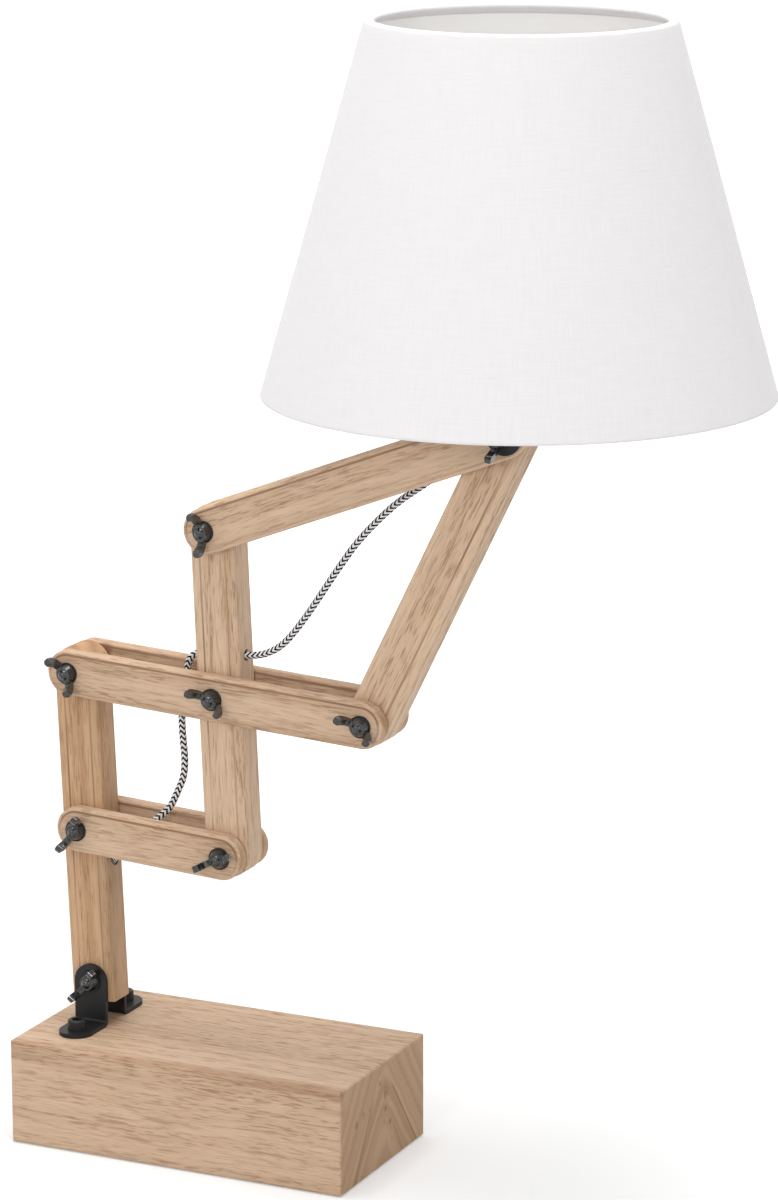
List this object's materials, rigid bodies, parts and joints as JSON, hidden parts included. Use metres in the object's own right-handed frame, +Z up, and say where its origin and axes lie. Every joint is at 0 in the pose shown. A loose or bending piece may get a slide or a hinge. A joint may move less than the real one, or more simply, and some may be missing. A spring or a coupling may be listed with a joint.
{
  "type": "table lamp",
  "caption": "Wooden table lamp with a block base, a scissor arm of posts and paired links clamped by wing nuts, a tilting conical fabric shade and a braided cord with a rocker switch.",
  "frame": {"origin": "middle of the underside of the base's felt, on the table top", "axes": "+Z up, +X along the base towards the shade, -Y to the front with the wing nuts"},
  "size_m": [0.4251, 0.292, 0.6444],
  "materials": {
    "block_wood": "oiled",
    "bar_wood": "oiled",
    "black_steel": "satin",
    "white_steel": "satin",
    "brass": "satin",
    "black_plastic": "matte",
    "porcelain": "gloss",
    "bulb_glass": "frosted",
    "shade_fabric": "matte",
    "shade_lining": "matte",
    "felt": "matte",
    "cord_braid": "woven",
    "pin_metal": "satin"
  },
  "bodies": {
    "base": {"base_block": "block_wood", "base_felt": "felt", "base_inserts": "brass", "bracket_front": "black_steel", "bracket_rear": "black_steel", "bracket_screws": "black_steel", "base_bolt": "black_steel", "base_washers": "black_steel", "cord_lead": "cord_braid", "cord_coil": "cord_braid", "coil_tie": "black_plastic", "switch_base": "black_plastic", "switch_cover": "black_plastic", "switch_reliefs": "black_plastic", "plug_shell": "black_plastic", "plug_pins": "pin_metal"},
    "lower_post": {"lower_post": "bar_wood", "cord_low": "cord_braid"},
    "lower_links": {"lower_link_front": "bar_wood", "lower_link_rear": "bar_wood", "lower_link_bolts": "black_steel", "lower_link_washers": "black_steel"},
    "cross_links": {"cross_link_front": "bar_wood", "cross_link_rear": "bar_wood", "cross_link_bolts": "black_steel", "cross_link_washers": "black_steel"},
    "middle_post": {"middle_post": "bar_wood", "cord_mid": "cord_braid", "cord_upper": "cord_braid"},
    "head_arm": {"head_arm": "bar_wood"},
    "top_links": {"top_link_front": "bar_wood", "top_link_rear": "bar_wood", "top_link_bolts": "black_steel", "top_link_washers": "black_steel", "cord_head": "cord_braid"},
    "lamp_head": {"stirrup": "black_steel", "nipple": "brass", "nipple_nut": "brass", "holder_cap": "black_plastic", "holder_body": "black_plastic", "holder_ring": "black_plastic", "holder_insert": "porcelain", "holder_contacts": "brass", "bulb_cap": "brass", "bulb_globe": "bulb_glass", "shade_spider": "black_steel", "shade_low_wire": "black_steel", "shade_top_wire": "white_steel", "shade_fabric": "shade_fabric", "shade_lining": "shade_lining"},
    "switch_rocker": {"switch_rocker": "black_plastic"},
    "nut_base": {"nut_base": "black_steel"},
    "nut_low_left": {"nut_low_left": "black_steel"},
    "nut_cross_left": {"nut_cross_left": "black_steel"},
    "nut_low_right": {"nut_low_right": "black_steel"},
    "nut_cross_mid": {"nut_cross_mid": "black_steel"},
    "nut_cross_right": {"nut_cross_right": "black_steel"},
    "nut_top_left": {"nut_top_left": "black_steel"},
    "nut_head": {"nut_head": "black_steel"}
  },
  "joints": [
    {"name": "base_tilt", "type": "hinge", "parent": "base", "child": "lower_post", "pos_m": [-0.075, 0, 0.0874], "axis": [0, 1, 0], "range_deg": [-25, 25], "deforming": ["cord_lead"]},
    {"name": "scissor", "type": "hinge", "parent": "lower_post", "child": "cross_links", "pos_m": [-0.08262, 0, 0.26924], "axis": [0, 1, 0], "range_deg": [-20, 30], "deforming": ["cord_low", "cord_mid", "cord_upper"]},
    {"name": "lower_link_pivot", "type": "hinge", "parent": "lower_post", "child": "lower_links", "pos_m": [-0.07881, 0, 0.17832], "axis": [0, 1, 0], "range_deg": [-20, 30]},
    {"name": "cross_post_pivot", "type": "hinge", "parent": "cross_links", "child": "middle_post", "pos_m": [0.00824, 0, 0.26416], "axis": [0, 1, 0], "range_deg": [-30, 20]},
    {"name": "head_arm_pivot", "type": "hinge", "parent": "cross_links", "child": "head_arm", "pos_m": [0.09909, 0, 0.25908], "axis": [0, 1, 0], "range_deg": [-21, 14]},
    {"name": "top_link_pivot", "type": "hinge", "parent": "middle_post", "child": "top_links", "pos_m": [0.00428, 0, 0.35858], "axis": [0, 1, 0], "range_deg": [-13, 19.5]},
    {"name": "head_tilt", "type": "hinge", "parent": "top_links", "child": "lamp_head", "pos_m": [0.18157, 0, 0.42691], "axis": [0, 1, 0], "range_deg": [-18, 45], "deforming": ["cord_head"]},
    {"name": "rocker_press", "type": "hinge", "parent": "base", "child": "switch_rocker", "pos_m": [-0.03, 0.0745, 0.016], "axis": [0, 1, 0], "range_deg": [0, 11]},
    {"name": "nut_base_turn", "type": "hinge", "parent": "base", "child": "nut_base", "pos_m": [-0.075, 0, 0.0874], "axis": [0, 1, 0], "range_deg": [0, 180]},
    {"name": "nut_low_left_turn", "type": "hinge", "parent": "lower_links", "child": "nut_low_left", "pos_m": [-0.07881, 0, 0.17832], "axis": [0, 1, 0], "range_deg": [0, 180]},
    {"name": "nut_cross_left_turn", "type": "hinge", "parent": "cross_links", "child": "nut_cross_left", "pos_m": [-0.08262, 0, 0.26924], "axis": [0, 1, 0], "range_deg": [0, 180]},
    {"name": "nut_low_right_turn", "type": "hinge", "parent": "lower_links", "child": "nut_low_right", "pos_m": [0.01205, 0, 0.17324], "axis": [0, 1, 0], "range_deg": [0, 180]},
    {"name": "nut_cross_mid_turn", "type": "hinge", "parent": "cross_links", "child": "nut_cross_mid", "pos_m": [0.00824, 0, 0.26416], "axis": [0, 1, 0], "range_deg": [0, 180]},
    {"name": "nut_cross_right_turn", "type": "hinge", "parent": "cross_links", "child": "nut_cross_right", "pos_m": [0.09909, 0, 0.25908], "axis": [0, 1, 0], "range_deg": [0, 180]},
    {"name": "nut_top_left_turn", "type": "hinge", "parent": "top_links", "child": "nut_top_left", "pos_m": [0.00428, 0, 0.35858], "axis": [0, 1, 0], "range_deg": [0, 180]},
    {"name": "nut_head_turn", "type": "hinge", "parent": "top_links", "child": "nut_head", "pos_m": [0.18157, 0, 0.42691], "axis": [0, 1, 0], "range_deg": [0, 180]}
  ],
  "couplings": [
    {"joint": "lower_link_pivot", "follows": "scissor", "ratio": 1},
    {"joint": "cross_post_pivot", "follows": "scissor", "ratio": -1},
    {"joint": "head_arm_pivot", "follows": "scissor", "ratio": -0.6933},
    {"joint": "top_link_pivot", "follows": "scissor", "ratio": 0.6438}
  ]
}
